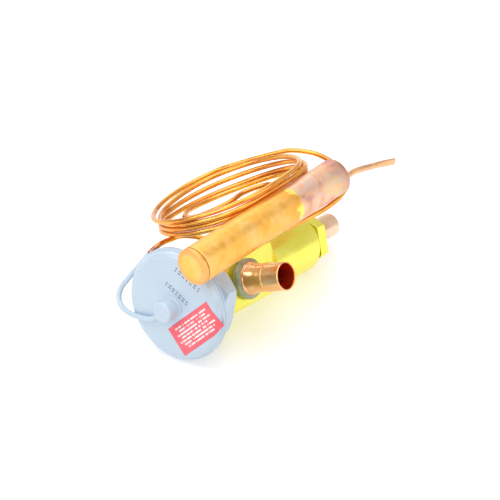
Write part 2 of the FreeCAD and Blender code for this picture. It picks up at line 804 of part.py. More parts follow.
def spring_points():
    """The spring's wire in the turned pieces' frame, worked out turn by turn between its seats."""
    bottom = value(CARRIER_END + " + spring_wire / 2 + spring_end_gap")
    climb = value("spring_length - spring_wire - spring_end_gap * 2")
    radius = value("spring_mean_r")
    steps = round(value("spring_turns")) * SPRING_STEPS
    points = []
    for step in range(steps + 1):
        angle = 2 * math.pi * step / SPRING_STEPS
        points.append(V(radius * math.cos(angle), radius * math.sin(angle), bottom + climb * step / steps))
    return points


def capillary_points():
    """The tube's whole route in the valve's frame, from inside the boss to inside the bulb."""
    exit_place = axial(value("capillary_angle"))
    exit_z = value(FACE + " - capillary_exit")
    start = exit_place.multVec(V(value("capillary_inset"), 0, exit_z))
    outside = exit_place.multVec(V(value("boss_r + capillary_run"), 0, exit_z))
    coil = coil_place()
    end = bulb_end()
    hole = V(value("bulb_hole_x"), value("bulb_hole_y"), 0)
    entering = end.multVec(hole + V(0, 0, value("bulb_run")))
    inside = end.multVec(hole - V(0, 0, value("end_inset")))
    points = [start, outside] + routed(LEAD, FreeCAD.Placement()) + routed(UNDER_BULB, coil)
    points += [coil.multVec(point) for point in coil_points()]
    return points + routed(TAIL, end) + [entering, inside]


def charging_points():
    end = bulb_end()
    hole = V(value("charge_hole_x"), value("charge_hole_y"), 0)
    inside = end.multVec(hole - V(0, 0, value("end_inset")))
    outside = end.multVec(hole + V(0, 0, value("charge_run")))
    return [inside, outside] + routed(CHARGING, end)


def slope():
    """How steeply the axis drops from the rim of the element to the lowest edge near the inlet."""
    rim = value("lip_depth")
    barrel = value(RIM_R + " - barrel_r") / (value(BODY_END + " - barrel_chamfer") - rim)
    flat = value(RIM_R + " - inlet_flats / 2") / (value(HEX_END + " - inlet_chamfer") - rim)
    return min(barrel, flat)


def nut_spin():
    """The inlet nut is screwed up until one corner, on the outlet's side, just meets the floor."""
    corner_r = value("inlet_flats / sqrt(3)")
    reach = value(HEX_END + " - inlet_chamfer - lip_depth")
    height = value(RIM_R) - reach * slope()
    off = math.degrees(math.acos(min(1, height / corner_r)))
    return 90 + value("outlet_tilt") - off


def settled(pieces):
    """Tip the valve onto the floor, over the middle of its footprint."""
    tip = FreeCAD.Placement(V(0, 0, 0), FreeCAD.Rotation(V(0, 1, 0), math.degrees(math.atan(slope()))))
    for piece, place in pieces:
        piece.Placement = tip.multiply(place)
    box = Part.makeCompound([piece.Shape for piece, place in pieces]).optimalBoundingBox(False)
    shift = FreeCAD.Placement(V(-box.Center.x, -box.Center.y, -box.ZMin), FreeCAD.Rotation())
    for piece, place in pieces:
        piece.Placement = shift.multiply(tip).multiply(place)


PIECES = [
    (build_upper_case(), axial()),
    (build_lower_case(), axial()),
    (build_diaphragm(), axial()),
    (build_capillary_boss(), axial(value("capillary_angle"))),
    (build_element_label(), axial()),
    (build_element_nut(), axial()),
    (build_body_gasket(), axial()),
    (build_valve_body(), axial()),
    (build_port_insert(), axial()),
    (build_buffer_plate(), axial()),
    (build_push_rods(), axial()),
    (build_pin_carrier(), axial()),
    (build_valve_pin(), axial()),
    (bent_wire("superheat_spring", spring_points(), value("spring_wire") / 2, 4), axial()),
    (build_spring_seat(), axial()),
    (build_adjusting_nut(), axial()),
    (build_inlet_nut(), axial(nut_spin())),
    (build_inlet_strainer(), axial()),
    (build_inlet_tube(), axial()),
    (build_outlet_ring(), outward()),
    (build_outlet_stub(), outward()),
    (build_bulb_shell(), bulb_place()),
    (build_bulb_cap(), bulb_place()),
    (bent_wire("capillary_tube", straightened(smooth(capillary_points()), value("bend_step")),
               value("capillary_r"), round(value("tube_sides"))), FreeCAD.Placement()),
    (bent_wire("charging_tube", straightened(smooth(charging_points()), value("bend_step")),
               value("charge_r"), round(value("charge_sides"))), FreeCAD.Placement()),
]
doc.recompute()
for thing in doc.Objects:
    if "Invalid" in thing.State or "Error" in thing.State:
        raise RuntimeError(f"{thing.Name} failed: {thing.State}")
settled(PIECES)
for piece, place in PIECES:
    if piece.Shape.isNull() or not piece.Shape.isValid():
        raise RuntimeError(f"{piece.Label} has no valid shape")
    print(piece.Label, round(piece.Shape.Volume, 1), len(piece.Shape.Solids), len(piece.Shape.Faces))
    piece.Shape.exportStep(f"parts/{piece.Label}.step")
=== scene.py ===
import math

import bpy
from mathutils import Matrix, Vector


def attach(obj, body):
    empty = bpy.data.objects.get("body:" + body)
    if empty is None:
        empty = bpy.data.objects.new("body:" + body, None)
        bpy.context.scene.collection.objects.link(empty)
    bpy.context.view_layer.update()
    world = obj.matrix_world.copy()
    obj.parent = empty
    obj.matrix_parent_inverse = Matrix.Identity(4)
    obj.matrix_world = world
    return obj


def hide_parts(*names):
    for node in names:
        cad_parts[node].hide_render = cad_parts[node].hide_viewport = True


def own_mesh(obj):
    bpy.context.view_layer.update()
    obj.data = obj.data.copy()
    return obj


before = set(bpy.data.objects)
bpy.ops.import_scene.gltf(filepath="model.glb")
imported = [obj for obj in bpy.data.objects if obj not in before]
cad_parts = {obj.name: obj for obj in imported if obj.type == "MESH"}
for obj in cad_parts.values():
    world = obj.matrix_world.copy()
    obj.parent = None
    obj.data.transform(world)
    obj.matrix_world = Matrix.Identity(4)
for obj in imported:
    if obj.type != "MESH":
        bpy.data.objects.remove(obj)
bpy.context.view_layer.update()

# Places and sizes of the valve are in millimetres. Lengths in the materials are in metres, as
# their nodes read them, and so are those of the stage and the lamps.
MM_PER_METRE = 1000

# The valve's own frame: its origin is in the middle of the element's rim, X runs along the valve
# to its inlet, and Z is up across it.
AXIS = Vector((0.990481, 0.0, -0.137655))
ACROSS = Vector((0.0, 1.0, 0.0))
UPWARD = AXIS.cross(ACROSS)
CENTRE = Vector((-64.346, -8.934, 28.903))

# The outlet's direction, and the point of the valve's axis that it leaves from.
OUTLET_SIDE = Vector((0.060128, -0.899558, 0.432644))
OUTLET_BASE = CENTRE + AXIS * 35.6

# The middle of the bulb's near end, and the bulb's direction.
BULB_NEAR = Vector((-75.201, -25.334, 63.401))
BULB_ALONG = Vector((0.999244, -0.038887, -0.000107)).normalized()

# The coil's middle, and the axes of the plane that its turns lie in.
COIL_CENTRE = Vector((-3.957, 9.766, 58.068))
COIL_NORMAL = Vector((0.000186, 0.483282, 0.875465)).normalized()
COIL_X = Vector((1.0, 0.0, -0.0002)).normalized()
COIL_Y = COIL_NORMAL.cross(COIL_X)

# The element: its rim, its upper case, that case's part of the rim's thickness, and the boss.
RIM_R = 29.0
CASE_R = 28.0
CASE_DEPTH = 5.6
LIP = 1.3
BOSS_R = 5.3
BOSS_HEIGHT = 8.6

BULB_R = 9.525
BULB_LENGTH = 111.0
CAPILLARY_R = 1.3
CHARGE_R = 1.6


def in_metres(place):
    return tuple(value / MM_PER_METRE for value in place)


def valve_place(x, y, z):
    """A place in the valve's frame, as a place in the shared frame."""
    return CENTRE + AXIS * x + ACROSS * y + UPWARD * z


def coil_place(x, y, z):
    """A place in the coil's frame, as a place in the shared frame."""
    return COIL_CENTRE + COIL_X * x + COIL_Y * y + COIL_NORMAL * z


def basis(along, side, base):
    """A matrix whose Z runs along a turned piece and whose X points to one side."""
    third = along.cross(side).normalized()
    first = third.cross(along).normalized()
    turned = Matrix((first, third, along)).transposed().to_4x4()
    turned.translation = base
    return turned


VALVE_TURNED = basis(AXIS, OUTLET_SIDE, CENTRE)
OUTLET_TURNED = basis(OUTLET_SIDE, AXIS, OUTLET_BASE)
BULB_TURNED = basis(BULB_ALONG, -ACROSS, BULB_NEAR)


# Shapes.

# A rounding takes at most this share of each side beside its corner.
ROUNDING_SHARE = 0.48
# A radius below this counts as a point on the axis.
ON_AXIS = 1e-6


def mesh_piece(name, places, faces, sharp=35.0):
    """A mesh that rides on the valve, smooth except at edges sharper than an angle in degrees."""
    mesh = bpy.data.meshes.new(name)
    mesh.from_pydata([in_metres(place) for place in places], [], faces)
    mesh.update()
    mesh.validate()
    for face in mesh.polygons:
        face.use_smooth = True
    mesh.set_sharp_from_angle(angle=math.radians(sharp))
    piece = bpy.data.objects.new(name, mesh)
    bpy.context.collection.objects.link(piece)
    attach(piece, "valve")
    return piece


def rounded(outline, closed=False):
    """An outline of (radius, along, rounding) as plain points, with its corners rounded."""
    points = []
    last = len(outline) - 1
    for index, (r, z, rounding) in enumerate(outline):
        if rounding <= 0 or (not closed and index in (0, last)):
            points.append((r, z))
            continue
        here = Vector((r, z))
        back = Vector(outline[index - 1][:2]) - here
        on = Vector(outline[(index + 1) % len(outline)][:2]) - here
        reach = min(rounding / math.tan(back.angle(on) / 2),
                    back.length * ROUNDING_SHARE, on.length * ROUNDING_SHARE)
        start, end = here + back.normalized() * reach, here + on.normalized() * reach
        steps = 6 if rounding > 0.5 else 4
        for step in range(steps + 1):
            t = step / steps
            place = start * (1 - t) ** 2 + here * 2 * t * (1 - t) + end * t ** 2
            points.append((place.x, place.y))
    return points


def turned(name, outline, place, closed=False, around=128, ripple=None):
    """A turned piece: its outline carried round local Z. A radius of 0 closes it on the axis.

    ripple gives what is added to the radius at an angle, a radius and a height.
    """
    places, rings = [], []
    for r, z in rounded(outline, closed):
        if r < ON_AXIS:
            rings.append([len(places)])
            places.append(place @ Vector((0, 0, z)))
            continue
        rings.append(list(range(len(places), len(places) + around)))
        for step in range(around):
            angle = 2 * math.pi * step / around
            reach = r + (ripple(angle, r, z) if ripple else 0)
            places.append(place @ Vector((reach * math.cos(angle), reach * math.sin(angle), z)))
    faces = []
    pairs = list(zip(rings, rings[1:])) + ([(rings[-1], rings[0])] if closed else [])
    for low, high in pairs:
        if len(low) == 1 and len(high) == 1:
            continue
        for step in range(around):
            after = (step + 1) % around
            if len(low) == 1:
                faces.append((low[0], high[after], high[step]))
            elif len(high) == 1:
                faces.append((low[step], low[after], high[0]))
            else:
                faces.append((low[step], low[after], high[after], high[step]))
    return mesh_piece(name, places, faces)


def soft_path(points, parts=8):
    """Points along a soft curve through a list of points."""
    neighbours = zip(points[:1] + points[:-1], points[1:] + points[-1:])
    slopes = [(after - before).normalized() for before, after in neighbours]
    fine = []
    for start, end, leaving, arriving in zip(points, points[1:], slopes, slopes[1:]):
        reach = (end - start).length
        for step in range(parts):
            t = step / parts
            fine.append(
                start * (2 * t ** 3 - 3 * t ** 2 + 1) + leaving * (reach * (t ** 3 - 2 * t ** 2 + t))
                + end * (3 * t ** 2 - 2 * t ** 3) + arriving * (reach * (t ** 3 - t ** 2)))
    return fine + points[-1:]


def tube(name, path, radius, sides=16, shape=None):
    """A closed tube along a path. shape gives its two half widths at a share of its length."""
    along = [0.0]
    for a, b in zip(path, path[1:]):
        along.append(along[-1] + (b - a).length)
    places, faces = [], []
    side = Vector((0, 0, 1)).cross(path[1] - path[0])
    for index, here in enumerate(path):
        ahead = path[min(index + 1, len(path) - 1)] - path[max(index - 1, 0)]
        ahead.normalize()
        side = (side - ahead * side.dot(ahead)).normalized()
        other = ahead.cross(side)
        wide, high = shape(along[index] / along[-1]) if shape else (radius, radius)
        for step in range(sides):
            angle = 2 * math.pi * step / sides
            places.append(here + side * wide * math.cos(angle) + other * high * math.sin(angle))
    for ring in range(len(path) - 1):
        low, high = ring * sides, (ring + 1) * sides
        for step in range(sides):
            after = (step + 1) % sides
            faces.append((low + step, low + after, high + after, high + step))
    faces.append(tuple(reversed(range(sides))))
    faces.append(tuple(range(len(places) - sides, len(places))))
    piece = mesh_piece(name, places, faces, sharp=50)
    # How far along the tube each place is, for the end of the paint and the scorched stretch.
    distances = piece.data.attributes.new("along", "FLOAT", "POINT")
    for index in range(len(places)):
        distances.data[index].value = along[index // sides]
    return piece


# Materials.

class Nodes:
    """A node tree, with short names for the nodes used here."""

    def __init__(self, tree):
        self.tree = tree

    def add(self, kind, **settings):
        node = self.tree.nodes.new(kind)
        for key, setting in settings.items():
            setattr(node, key, setting)
        return node

    def link(self, source, socket):
        self.tree.links.new(source, socket)

    def feed(self, socket, source):
        """Links an output to a socket, or sets a plain value on it."""
        if isinstance(source, (int, float, tuple)):
            socket.default_value = source
        else:
            self.link(source, socket)

    def math(self, operation, first, second=0.0):
        node = self.add("ShaderNodeMath", operation=operation)
        self.feed(node.inputs[0], first)
        self.feed(node.inputs[1], second)
        return node.outputs[0]

    def times(self, first, second):
        return self.math("MULTIPLY", first, second)

    def vector(self, operation, first, second):
        node = self.add("ShaderNodeVectorMath", operation=operation)
        self.feed(node.inputs[0], first)
        self.feed(node.inputs[1], second)
        return node.outputs

    def band(self, source, low, high, start=0.0, end=1.0):
        """A value carried from one range to another, and kept within it."""
        node = self.add("ShaderNodeMapRange")
        for name, value in (("From Min", low), ("From Max", high), ("To Min", start), ("To Max", end)):
            node.inputs[name].default_value = value
        self.link(source, node.inputs["Value"])
        return node.outputs["Result"]

    def strip(self, source, start, full, fading, end):
        """1 from full to fading, sloping to 0 at start and at end."""
        return self.times(self.band(source, start, full), self.band(source, end, fading))

    def within(self, source, low, high):
        """1 between two values, and 0 outside them."""
        return self.times(self.math("GREATER_THAN", source, low), self.math("LESS_THAN", source, high))


class Finish(Nodes):
    """A material, with the textures and the mixes that its surface is made of."""

    SOCKETS = {"base": "Base Color", "metal": "Metallic", "rough": "Roughness", "coat": "Coat Weight",
               "coat_rough": "Coat Roughness", "spec": "Specular IOR Level"}

    def __init__(self, name):
        self.material = bpy.data.materials.new(name)
        self.material.use_nodes = True
        super().__init__(self.material.node_tree)
        self.shader = self.tree.nodes["Principled BSDF"]
        self.place = self.add("ShaderNodeTexCoord").outputs["Object"]

    def set(self, **values):
        for key, source in values.items():
            self.feed(self.shader.inputs[self.SOCKETS[key]], source)

    def noise(self, scale, detail=3.0, place=None, distortion=0.0):
        node = self.add("ShaderNodeTexNoise")
        node.inputs["Scale"].default_value = scale
        node.inputs["Detail"].default_value = detail
        node.inputs["Distortion"].default_value = distortion
        self.link(place or self.place, node.inputs["Vector"])
        return node.outputs["Fac"]

    def rings(self, position, scale):
        """A noise that changes along a position alone, as tool marks do."""
        node = self.add("ShaderNodeTexNoise", noise_dimensions="1D")
        node.inputs["Scale"].default_value = scale
        node.inputs["Detail"].default_value = 2
        self.link(position, node.inputs["W"])
        return node.outputs["Fac"]

    def along(self, direction, base):
        """The distance in metres from a base along a direction."""
        shifted = self.vector("SUBTRACT", self.place, in_metres(base))["Vector"]
        return self.vector("DOT_PRODUCT", shifted, tuple(direction))["Value"]

    def away(self, base):
        """The distance in metres from a base."""
        return self.vector("DISTANCE", self.place, in_metres(base))["Value"]

    def ramp(self, source, stops):
        node = self.add("ShaderNodeValToRGB")
        colours = node.color_ramp.elements
        while len(colours) < len(stops):
            colours.new(0.5)
        for element, (where, colour) in zip(colours, stops):
            element.position = where
            element.color = (*colour, 1.0)
        self.link(source, node.inputs["Fac"])
        return node.outputs["Color"]

    def blend(self, share, first, second):
        """A mix of two colours. They are the node's inputs 6 and 7, and its output 2."""
        node = self.add("ShaderNodeMix", data_type="RGBA")
        self.feed(node.inputs["Factor"], share)
        self.feed(node.inputs[6], (*first, 1.0) if isinstance(first, tuple) else first)
        self.feed(node.inputs[7], (*second, 1.0) if isinstance(second, tuple) else second)
        return node.outputs[2]

    def tint(self, tone, share, strength, colour):
        """A tone carried towards a colour, by a share times a strength."""
        return self.blend(self.times(share, strength), tone, colour)

    def relief(self, height, strength, distance, edge=0.0):
        """Bumps, on top of edges softened by a bevel where edge is over 0."""
        node = self.add("ShaderNodeBump")
        node.inputs["Strength"].default_value = strength
        node.inputs["Distance"].default_value = distance
        self.link(height, node.inputs["Height"])
        if edge:
            bevel = self.add("ShaderNodeBevel", samples=6)
            bevel.inputs["Radius"].default_value = edge
            self.link(bevel.outputs["Normal"], node.inputs["Normal"])
        self.link(node.outputs["Normal"], self.shader.inputs["Normal"])


def painted(name, light, dark, edge=0.0):
    """Smooth machine paint, with faint runs, specks and a fine orange-peel."""
    speck_colour = (0.30, 0.34, 0.38)
    finish = Finish(name)
    cloud = finish.noise(38, 4)
    specks = finish.band(finish.noise(900, 2), 0.68, 0.74)
    tone = finish.ramp(cloud, [(0.3, dark), (0.7, light)])
    finish.set(base=finish.tint(tone, specks, 0.35, speck_colour), metal=0.0,
               rough=finish.band(cloud, 0.3, 0.7, 0.26, 0.36), coat=0.6, coat_rough=0.07)
    finish.relief(finish.noise(260, 3), 0.10, 0.0004, edge)
    return finish.material


def drawn_copper(name, light, dark, rough=(0.22, 0.36)):
    """Copper tube: soft patches of tone, fine marks and small dark spots."""
    spot_colour = (0.36, 0.14, 0.07)
    finish = Finish(name)
    patch = finish.noise(70, 4, distortion=0.4)
    tone = finish.ramp(patch, [(0.25, dark), (0.55, light), (0.85, dark)])
    spots = finish.band(finish.noise(420, 2), 0.70, 0.78, 0.0, 0.45)
    finish.set(base=finish.blend(spots, tone, spot_colour), metal=1.0,
               rough=finish.band(patch, 0.3, 0.75, *rough))
    finish.relief(finish.noise(700, 2), 0.06, 0.0002)
    return finish.material


def turned_brass():
    """Turned brass: fine rings round the axis, soft stains and bright edges."""
    pit_colour = (0.45, 0.30, 0.06)
    finish = Finish("brass")
    stain = finish.noise(55, 5, distortion=0.6)
    tone = finish.ramp(stain, [
        (0.2, (0.92, 0.83, 0.09)), (0.5, (0.94, 0.87, 0.13)), (0.8, (0.97, 0.91, 0.19))])
    pits = finish.band(finish.noise(500, 2), 0.70, 0.78, 0.0, 0.5)
    finish.set(base=finish.blend(pits, tone, pit_colour), metal=1.0,
               rough=finish.band(stain, 0.3, 0.7, 0.22, 0.32))
    finish.relief(finish.rings(finish.along(AXIS, CENTRE), 3200), 0.06, 0.0002, edge=0.0004)
    return finish.material


def plain_metal(name, colour, rough, scale=220):
    """Small inner pieces: one metal with a fine grain."""
    shade = tuple(part * 0.8 for part in colour)
    finish = Finish(name)
    grain = finish.noise(scale, 3)
    finish.set(base=finish.ramp(grain, [(0.3, shade), (0.7, colour)]), metal=1.0,
               rough=finish.band(grain, 0.3, 0.7, rough, rough + 0.12))
    finish.relief(grain, 0.05, 0.0002)
    return finish.material


def bulb_finish():
    """The bulb: warm copper, and beyond a ragged bright line the pinks and greys of heat."""
    warm_stops = [(0.30, (0.88, 0.42, 0.06)), (0.50, (0.93, 0.52, 0.12)), (0.70, (0.93, 0.59, 0.23))]
    heat_stops = [(0.30, (0.60, 0.32, 0.30)), (0.42, (0.84, 0.46, 0.26)), (0.50, (0.78, 0.56, 0.46)),
                  (0.57, (0.90, 0.58, 0.28)), (0.65, (0.74, 0.63, 0.50)), (0.74, (0.84, 0.44, 0.27))]
    redder_colour = (0.84, 0.34, 0.03)
    line_colour = (1.0, 0.88, 0.14)
    tip_colour = (0.48, 0.22, 0.20)
    # The crease's colour is painted shade: a dark ring where the groove behind the near end lies.
    crease_shade_colour = (0.36, 0.13, 0.04)
    margin_colour = (0.86, 0.38, 0.13)

    # Places along the bulb: a strip starts, is full, fades and ends there.
    redder_strip = (0.060, 0.072, 0.073, 0.076)
    line_strip = (0.0730, 0.0743, 0.0756, 0.0769)
    crease_shade_strip = (0.0024, 0.0027, 0.0029, 0.0034)
    heat_start, heat_full = 0.0735, 0.0765
    tip_start, tip_full = 0.098, 0.110

    finish = Finish("bulb_copper")
    reach = finish.along(BULB_ALONG, BULB_NEAR)
    fine = finish.noise(330, 4)
    patch = finish.math("ADD", finish.times(finish.noise(60, 5, distortion=1.2), 0.6),
                        finish.times(fine, 0.4))
    warm = finish.ramp(patch, warm_stops)
    heat = finish.ramp(finish.noise(78, 5, distortion=0.7), heat_stops)

    # The distance along the bulb wanders, so that what changes with it has a ragged edge.
    wander = finish.band(finish.noise(85, 2, distortion=0.6), 0.25, 0.75, -0.0025, 0.0095)
    line = finish.math("ADD", reach, wander)
    tone = finish.tint(warm, finish.strip(line, *redder_strip), 0.45, redder_colour)
    tone = finish.blend(finish.band(line, heat_start, heat_full), tone, heat)
    broken = finish.band(finish.noise(150, 2), 0.42, 0.56)
    stripe = finish.times(finish.strip(line, *line_strip), broken)
    tone = finish.tint(tone, stripe, 0.75, line_colour)

    # The dark far tip, painted shade in the crease behind the pressed-in end, and the redder margin of
    # that end.
    tone = finish.tint(tone, finish.band(reach, tip_start, tip_full), 0.65, tip_colour)
    # Painted shade: this dark ring darkens the crease behind the near end.
    tone = finish.tint(tone, finish.strip(reach, *crease_shade_strip), 0.75, crease_shade_colour)
    margin = finish.times(finish.band(finish.away(BULB_NEAR), 0.0060, 0.0074),
                          finish.band(reach, 0.0030, 0.0012))
    tone = finish.tint(tone, margin, 0.7, margin_colour)
    finish.set(base=tone, metal=1.0, rough=finish.band(fine, 0.3, 0.7, 0.36, 0.52))
    finish.relief(fine, 0.08, 0.0003)
    return finish.material


def capillary_finish(paint_end):
    """Annealed copper, with the element's paint over the first stretch, up to paint_end.

    Lengths along the capillary are in millimetres, as tube() writes them on the mesh.
    """
    copper_stops = [(0.22, (0.58, 0.18, 0.05)), (0.45, (0.78, 0.32, 0.06)),
                    (0.62, (0.86, 0.43, 0.09)), (0.82, (0.76, 0.34, 0.17))]
    scorch_colour = (0.34, 0.13, 0.12)
    paint_colour = (0.57, 0.68, 0.80)
    ragged, soft = 1.2, 0.6
    scorch_full, scorch_end = 2, 9
    finish = Finish("capillary_copper")
    along = finish.add("ShaderNodeAttribute", attribute_name="along").outputs["Fac"]
    copper = finish.ramp(finish.noise(45, 4, distortion=0.6), copper_stops)
    edge = finish.math("ADD", along, finish.band(finish.noise(400, 2), 0.3, 0.7, -ragged, ragged))
    bare = finish.band(edge, paint_end - soft, paint_end + soft)
    scorched = finish.times(bare, finish.band(along, paint_end + scorch_end, paint_end + scorch_full))
    copper = finish.tint(copper, scorched, 0.8, scorch_colour)
    finish.set(base=finish.blend(bare, paint_colour, copper), metal=bare,
               rough=finish.band(bare, 0.0, 1.0, 0.36, 0.24))
    finish.relief(finish.noise(500, 3), 0.06, 0.0002)
    return finish.material


def sticker_finish():
    """A red film with rows of plain white bars, in the label's own coordinates."""
    rows_on_label = 9.0
    used_rows = (0.5, 7.5)
    bar_in_row = (0.20, 0.72)
    bars_along = 24.0
    row_offset = 7.3
    gap_below = 0.44
    left_margin, right_margin = 0.07, 0.95
    ragged, ragged_step = 0.13, 0.41
    finish = Finish("label")
    place = finish.add("ShaderNodeSeparateXYZ")
    finish.link(finish.add("ShaderNodeUVMap", uv_map="UVMap").outputs["UV"], place.inputs["Vector"])
    u, v, _ = place.outputs
    rows = finish.times(v, rows_on_label)
    row = finish.math("FLOOR", rows)
    bar = finish.times(finish.within(finish.math("FRACT", rows), *bar_in_row),
                       finish.within(row, *used_rows))

    # The gaps in a row come from a noise that is read at another place for each row.
    cells = finish.add("ShaderNodeCombineXYZ")
    finish.link(finish.times(u, bars_along), cells.inputs[0])
    finish.link(finish.times(row, row_offset), cells.inputs[1])
    gaps = finish.noise(1.0, 1.0, cells.outputs[0])
    bar = finish.times(bar, finish.math("GREATER_THAN", gaps, gap_below))
    shift = finish.times(finish.math("FRACT", finish.times(row, ragged_step)), ragged)
    margin = finish.times(finish.math("GREATER_THAN", finish.math("SUBTRACT", u, shift), left_margin),
                          finish.math("LESS_THAN", finish.math("ADD", u, shift), right_margin))
    bar = finish.times(bar, margin)
    red = finish.ramp(finish.noise(60, 3), [(0.3, (0.88, 0.085, 0.12)), (0.7, (0.94, 0.13, 0.17))])
    finish.set(base=finish.blend(bar, red, (0.90, 0.86, 0.86)), rough=0.34, coat=0.3, coat_rough=0.15)
    finish.relief(finish.noise(160, 2), 0.05, 0.0002)
    return finish.material


def dull_braze():
    """Grey-green filler metal, rough and patchy."""
    finish = Finish("solder")
    patch = finish.noise(160, 5, distortion=0.8)
    tone = finish.ramp(patch, [
        (0.25, (0.20, 0.22, 0.14)), (0.5, (0.38, 0.40, 0.28)), (0.75, (0.56, 0.52, 0.33))])
    finish.set(base=tone, metal=0.55, rough=finish.band(patch, 0.3, 0.7, 0.40, 0.62))
    finish.relief(finish.noise(420, 4), 0.35, 0.0004)
    return finish.material


def outlet_finish():
    """The outlet tube: bright copper outside, and ridged copper down its bore, painted dark red as
    painted shade.
    """
    bore_limit = 0.00672
    heated_colour = (0.80, 0.40, 0.30)
    heat_end, heat_full, heat_most = 0.0245, 0.0185, 0.4
    finish = Finish("outlet_copper")
    reach = finish.along(OUTLET_SIDE, OUTLET_BASE)
    from_axis_squared = finish.math("SUBTRACT", finish.math("POWER", finish.away(OUTLET_BASE), 2.0),
                                    finish.math("POWER", reach, 2.0))
    bore = finish.math("LESS_THAN", from_axis_squared, bore_limit ** 2)
    patch = finish.noise(90, 4, distortion=0.6)
    bright = finish.ramp(patch, [
        (0.25, (0.84, 0.38, 0.12)), (0.55, (0.94, 0.57, 0.25)), (0.85, (0.88, 0.45, 0.16))])
    bright = finish.blend(finish.band(reach, heat_end, heat_full, 0.0, heat_most), bright, heated_colour)
    # Painted shade: the copper down the bore is darker and redder, for the shade inside the tube.
    dark = finish.ramp(patch, [(0.3, (0.84, 0.16, 0.04)), (0.7, (0.95, 0.32, 0.10))])
    finish.set(base=finish.blend(bore, bright, dark), metal=1.0,
               rough=finish.band(bore, 0.0, 1.0, 0.26, 0.30))
    ridges = finish.times(finish.rings(reach, 900), finish.band(bore, 0.0, 1.0, 1.0, 5.0))
    finish.relief(ridges, 0.20, 0.0003)
    return finish.material


def ink_finish():
    finish = Finish("ink")
    grain = finish.noise(900, 2)
    tone = finish.ramp(grain, [(0.35, (0.06, 0.08, 0.12)), (0.7, (0.16, 0.19, 0.25))])
    finish.set(base=tone, rough=0.6)
    return finish.material


def rubber_finish():
    finish = Finish("gasket")
    grain = finish.noise(500, 3)
    tone = finish.ramp(grain, [(0.3, (0.03, 0.03, 0.03)), (0.7, (0.06, 0.06, 0.06))])
    finish.set(base=tone, rough=0.7)
    finish.relief(grain, 0.1, 0.0002)
    return finish.material


def dress(piece, material):
    piece.data.materials.clear()
    piece.data.materials.append(material)


PAINT = painted("case_paint", (0.56, 0.68, 0.80), (0.52, 0.64, 0.77))
# The nut has the same paint as the cases, made lighter and bluer: painted light on its lit facets.
LIT_NUT_PAINT = painted("nut_paint_lit", (0.60, 0.74, 0.90), (0.55, 0.69, 0.85), edge=0.0003)
BRASS = turned_brass()
PALE_COPPER = drawn_copper("pale_copper", (0.96, 0.68, 0.48), (0.92, 0.56, 0.36))
STUB_COPPER = drawn_copper("stub_copper", (0.90, 0.52, 0.26), (0.62, 0.36, 0.26), (0.30, 0.48))
STEEL = plain_metal("steel", (0.62, 0.62, 0.63), 0.30)
BULB = bulb_finish()


# The element: its upper case, clinched at the rim, with the boss that holds the capillary. The
# outlines of turned pieces are lists of (radius, along, rounding).

# The flat of the face and the depth of its underside, half the seam between the two cases, and the
# hole with the boss's stem in it.
FACE_R = 24.6
CASE_INSIDE = 4.4
SEAM = 0.06
HOLE_R = 3.15
STEM_R = 3.1

UPPER_OUTSIDE = [
    (HOLE_R, -CASE_DEPTH, 0), (FACE_R, -CASE_DEPTH, 1.0), (CASE_R - 0.7, -CASE_DEPTH + 0.55, 2.4),
    (CASE_R, -LIP - 0.05, 0.4), (28.45, -LIP, 0.25), (RIM_R, -LIP + 0.2, 0.35), (RIM_R, -SEAM, 0.15),
]
UPPER_INSIDE = [
    (28.2, -SEAM, 0), (26.8, -0.1, 0), (26.8, -3.4, 0), (FACE_R, -CASE_INSIDE, 0),
    (HOLE_R, -CASE_INSIDE, 0),
]
upper = turned("upper_case_pressing", UPPER_OUTSIDE + UPPER_INSIDE, VALVE_TURNED, closed=True)
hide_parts("upper_case")
dress(upper, PAINT)

BOSS_TOP = -CASE_DEPTH - BOSS_HEIGHT
BOSS_FOOT = -CASE_DEPTH - 0.02
BOSS_OUTLINE = [
    (0, BOSS_TOP, 0), (BOSS_R - 0.5, BOSS_TOP, 0.9), (BOSS_R, BOSS_TOP + 0.9, 0.5),
    (BOSS_R, -CASE_DEPTH - 0.9, 0.3), (BOSS_R + 0.15, -CASE_DEPTH - 0.75, 0.4),
    (BOSS_R + 0.9, BOSS_FOOT, 0.3), (STEM_R, BOSS_FOOT, 0), (STEM_R, -CASE_INSIDE, 0),
    (0, -CASE_INSIDE, 0),
]
boss = turned("boss_turning", BOSS_OUTLINE, VALVE_TURNED, around=72)
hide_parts("capillary_boss")
dress(boss, PAINT)


# The label lies on the face, and its outer corner folds down over the shoulder.

LABEL_LENGTH = 32.6
LABEL_WIDTH = 15.8
# Its middle on the face, and how far it is turned there, in degrees.
LABEL_X = 11.6
LABEL_Y = 11.7
LABEL_TURN = -23.5
# Its upper side's height over the case, and the film's thickness.
LABEL_LIFT = 0.09
LABEL_THICK = 0.07
# How much of the flat label is left where it bends, from 0, limp, to 1, rigid.
LABEL_STIFFNESS = 0.3

CASE_PROFILE = [Vector(point) for point in rounded(UPPER_OUTSIDE)]


def on_case(x, y, lift):
    """A place of the flat label, laid on the case: past the flat it follows the shoulder down."""
    out = math.hypot(x, y)
    way = Vector((x, y)) / out
    left = out
    here, ahead = Vector((0, -CASE_DEPTH)), CASE_PROFILE[0]
    for ahead in CASE_PROFILE:
        if (ahead - here).length >= left:
            break
        left -= (ahead - here).length
        here = ahead
    step = (ahead - here).normalized()
    laid = here + step * left + Vector((step.y, -step.x)) * lift
    flat = Vector((out, -CASE_DEPTH - lift))
    spot = laid.lerp(flat, LABEL_STIFFNESS)
    return VALVE_TURNED @ Vector((way.x * spot.x, way.y * spot.x, spot.y))


